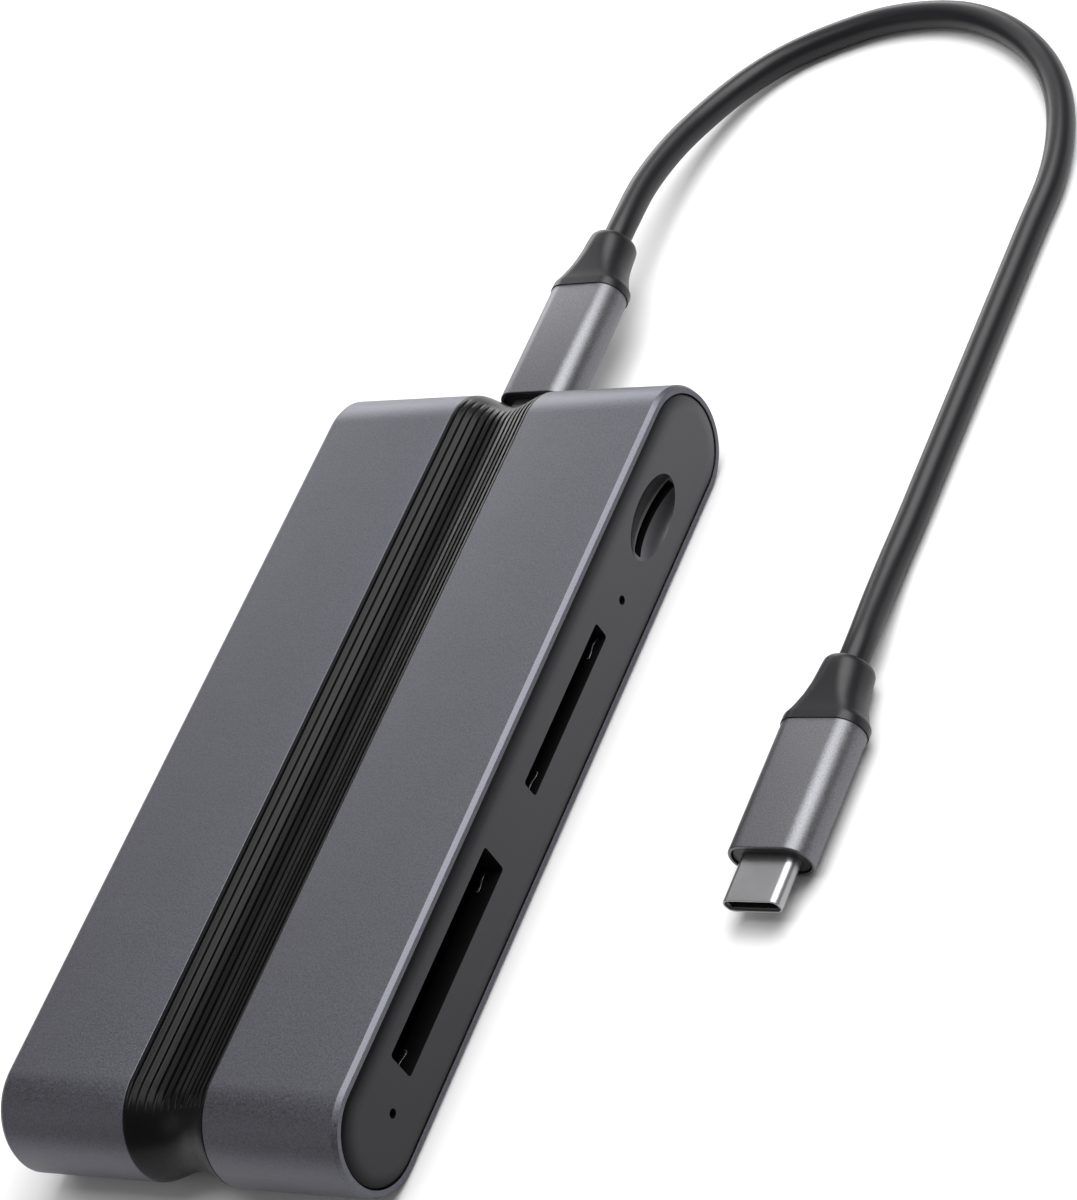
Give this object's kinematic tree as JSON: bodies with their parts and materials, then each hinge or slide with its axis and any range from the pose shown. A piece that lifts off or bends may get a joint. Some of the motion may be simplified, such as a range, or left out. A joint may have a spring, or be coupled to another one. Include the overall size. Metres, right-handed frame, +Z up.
{
  "type": "usb hub",
  "caption": "Rounded desktop USB hub in two aluminium sleeves with a ribbed black centre band, card slots in one end cap, USB ports in the other, and a detachable plug-to-plug cable.",
  "frame": {"origin": "middle of the hub's underside", "axes": "+X towards the card-slot end cap, +Y towards the host port and its plug, +Z up"},
  "size_m": [0.0962, 0.1982, 0.0167],
  "materials": {
    "sleeve": "bead-blasted anodised, dark grey with a faint violet tint",
    "band": "satin black",
    "cap": "fine matt texture, dark grey",
    "frame_plastic": "moulded, matt",
    "board": "solder mask",
    "steel": "nickel-plated, satin",
    "contact_gold": "gold-plated",
    "usb_blue": "moulded, matt",
    "chip": "moulded epoxy",
    "ceramic": "ceramic with tinned ends",
    "ferrite": "moulded ferrite",
    "pad": "soft silicone",
    "spreader": "plain rolled",
    "led": "clear epoxy over white",
    "light_guide": "clear acrylic",
    "slider_plastic": "natural nylon",
    "plug_metal": "satin anodised, grey",
    "plug_core": "matt black",
    "cord": "smooth matt jacket, dark grey"
  },
  "bodies": {
    "hub": {"left_shell": "sleeve", "right_shell": "sleeve", "center_band": "band", "left_end_cap": "cap", "right_end_cap": "cap", "inner_frame": "frame_plastic", "main_board": "board", "board_screws": "steel", "host_port_shell": "steel", "host_port_tongue": "chip", "usb_a_shell_rear": "steel", "usb_a_tongue_rear": "usb_blue", "usb_a_shell_front": "steel", "usb_a_tongue_front": "usb_blue", "power_port_shell": "steel", "power_port_tongue": "chip", "sd_socket": "chip", "sd_cover": "steel", "sd_contacts": "contact_gold", "cfexpress_rails": "steel", "cfexpress_header": "chip", "cfexpress_pins": "contact_gold", "microsd_socket": "chip", "microsd_cover": "steel", "microsd_contacts": "contact_gold", "microsd_spring": "steel", "hub_chip": "chip", "reader_chip": "chip", "power_chip": "chip", "clock_crystals": "steel", "power_coils": "ferrite", "capacitors": "ceramic", "thermal_pads": "pad", "heat_spreader": "spreader", "status_leds": "led", "light_pipes": "light_guide"},
    "cable": {"hub_plug_nose": "steel", "hub_plug_insert": "plug_core", "hub_plug_core": "plug_core", "hub_plug_sleeve": "plug_metal", "hub_plug_relief": "cord", "host_cable": "cord", "free_plug_relief": "cord", "free_plug_sleeve": "plug_metal", "free_plug_core": "plug_core", "free_plug_insert": "plug_core", "free_plug_nose": "steel"},
    "card_ejector": {"microsd_slider": "slider_plastic"}
  },
  "joints": [
    {"name": "cable_unplug", "type": "slide", "parent": "hub", "child": "cable", "axis": [0, 1, 0], "range_m": [0, 0.012]},
    {"name": "card_push", "type": "slide", "parent": "hub", "child": "card_ejector", "axis": [-1, 0, 0], "range_m": [0, 0.0014], "stiffness_N_per_m": 400, "springref_m": -0.0006, "deforming": ["microsd_spring"]}
  ]
}
